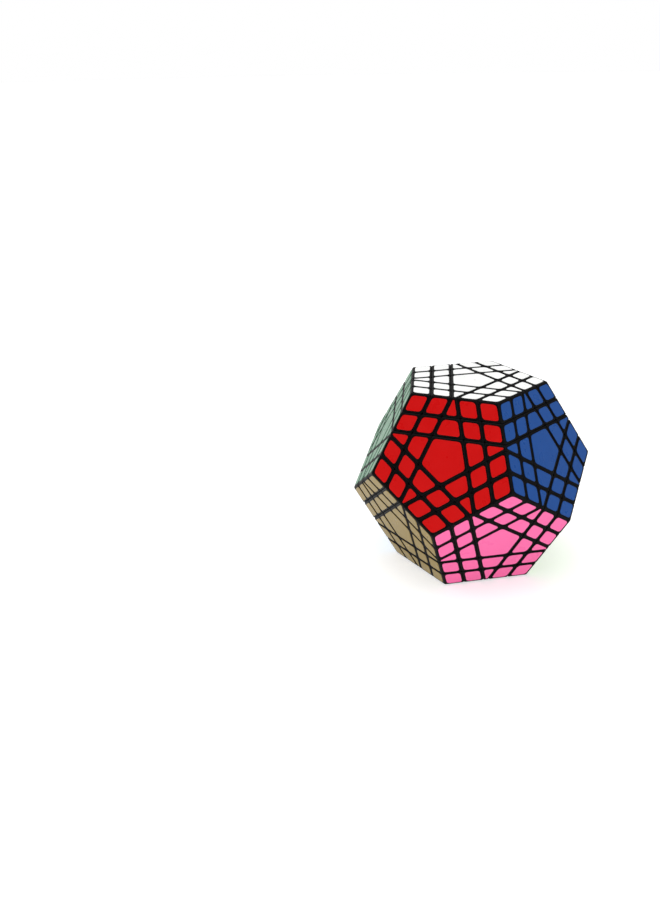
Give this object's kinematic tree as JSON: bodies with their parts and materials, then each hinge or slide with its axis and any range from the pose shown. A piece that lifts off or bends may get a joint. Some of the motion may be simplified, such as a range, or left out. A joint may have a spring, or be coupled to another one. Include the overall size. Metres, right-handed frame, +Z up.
{
  "type": "dodecahedron twisty puzzle",
  "caption": "Dodecahedron-shaped twisting puzzle: small black pieces with coloured stickers, in layers that turn about the faces' axes.",
  "frame": {"origin": "the puzzle's centre, where the axes of all its faces meet", "axes": "+Z up through the middle of the white face, -Z down through the face it rests on, -Y level below the middle of the red face's slope, +X to the right of it"},
  "size_m": [0.11, 0.1156, 0.0936],
  "materials": {
    "black_plastic": "satin moulded black plastic",
    "steel": "plain zinc-plated steel",
    "sticker_white": "smooth vinyl sticker, slightly glossy",
    "sticker_red": "smooth vinyl sticker, slightly glossy",
    "sticker_blue": "smooth vinyl sticker, slightly glossy",
    "sticker_yellow": "smooth vinyl sticker, slightly glossy",
    "sticker_purple": "smooth vinyl sticker, slightly glossy",
    "sticker_green": "smooth vinyl sticker, slightly glossy",
    "sticker_pink": "smooth vinyl sticker, slightly glossy",
    "sticker_lime": "smooth vinyl sticker, slightly glossy",
    "sticker_orange": "smooth vinyl sticker, slightly glossy",
    "sticker_sky": "smooth vinyl sticker, slightly glossy",
    "sticker_gold": "smooth vinyl sticker, slightly glossy",
    "sticker_grey": "smooth vinyl sticker, slightly glossy"
  },
  "bodies": {
    "fixed_part": {"blue_pieces": "black_plastic", "centre_blue": "sticker_blue", "centre_gold": "sticker_gold", "centre_green": "sticker_green", "centre_grey": "sticker_grey", "centre_lime": "sticker_lime", "centre_orange": "sticker_orange", "centre_purple": "sticker_purple", "centre_red": "sticker_red", "centre_yellow": "sticker_yellow", "core": "black_plastic", "gold_grey_bridge": "black_plastic", "grey_pieces": "black_plastic", "hidden_pieces": "black_plastic", "left_corner_pieces": "black_plastic", "lime_pieces": "black_plastic", "orange_purple_pieces": "black_plastic", "purple_green_bridge": "black_plastic", "red_blue_bridge": "black_plastic", "screw_white": "steel", "spring_white": "steel", "yellow_pieces": "black_plastic"},
    "white_outer_layer": {"centre_white": "sticker_white", "corner_white_blue_yellow": "black_plastic", "corner_white_purple_green": "black_plastic", "corner_white_red_blue": "black_plastic", "corner_white_red_green": "black_plastic", "corner_white_yellow_purple": "black_plastic", "middle_edge_white_blue": "black_plastic", "middle_edge_white_green": "black_plastic", "middle_edge_white_purple": "black_plastic", "middle_edge_white_red": "black_plastic", "middle_edge_white_yellow": "black_plastic", "point_centre_white_by_blue_yellow": "black_plastic", "point_centre_white_by_purple_green": "black_plastic", "point_centre_white_by_red_blue": "black_plastic", "point_centre_white_by_red_green": "black_plastic", "point_centre_white_by_yellow_purple": "black_plastic", "side_centre_white_by_blue": "black_plastic", "side_centre_white_by_green": "black_plastic", "side_centre_white_by_purple": "black_plastic", "side_centre_white_by_red": "black_plastic", "side_centre_white_by_yellow": "black_plastic", "wing_white_blue_by_red": "black_plastic", "wing_white_blue_by_yellow": "black_plastic", "wing_white_green_by_purple": "black_plastic", "wing_white_green_by_red": "black_plastic", "wing_white_purple_by_green": "black_plastic", "wing_white_purple_by_yellow": "black_plastic", "wing_white_red_by_blue": "black_plastic", "wing_white_red_by_green": "black_plastic", "wing_white_yellow_by_blue": "black_plastic", "wing_white_yellow_by_purple": "black_plastic"},
    "white_second_layer_body": {"white_second_layer": "black_plastic"},
    "pink_outer_layer": {"centre_pink": "sticker_pink", "pink_outer_ring": "black_plastic"},
    "pink_second_layer_body": {"pink_second_layer": "black_plastic"},
    "sky_outer_layer": {"centre_sky": "sticker_sky", "sky_outer_ring": "black_plastic"},
    "sky_second_layer_body": {"sky_second_layer": "black_plastic"}
  },
  "joints": [
    {"name": "white_outer_turn", "type": "hinge", "parent": "fixed_part", "child": "white_outer_layer", "pos_m": [0, 0, 0], "axis": [0, 0, 1], "continuous": true},
    {"name": "white_second_turn", "type": "hinge", "parent": "fixed_part", "child": "white_second_layer_body", "pos_m": [0, 0, 0], "axis": [0, 0, 1], "continuous": true},
    {"name": "pink_outer_turn", "type": "hinge", "parent": "fixed_part", "child": "pink_outer_layer", "pos_m": [0, 0, 0], "axis": [0.5257, -0.7236, -0.4472], "continuous": true},
    {"name": "pink_second_turn", "type": "hinge", "parent": "fixed_part", "child": "pink_second_layer_body", "pos_m": [0, 0, 0], "axis": [0.5257, -0.7236, -0.4472], "continuous": true},
    {"name": "sky_outer_turn", "type": "hinge", "parent": "fixed_part", "child": "sky_outer_layer", "pos_m": [0, 0, 0], "axis": [-0.8507, 0.2764, -0.4472], "continuous": true},
    {"name": "sky_second_turn", "type": "hinge", "parent": "fixed_part", "child": "sky_second_layer_body", "pos_m": [0, 0, 0], "axis": [-0.8507, 0.2764, -0.4472], "continuous": true}
  ]
}
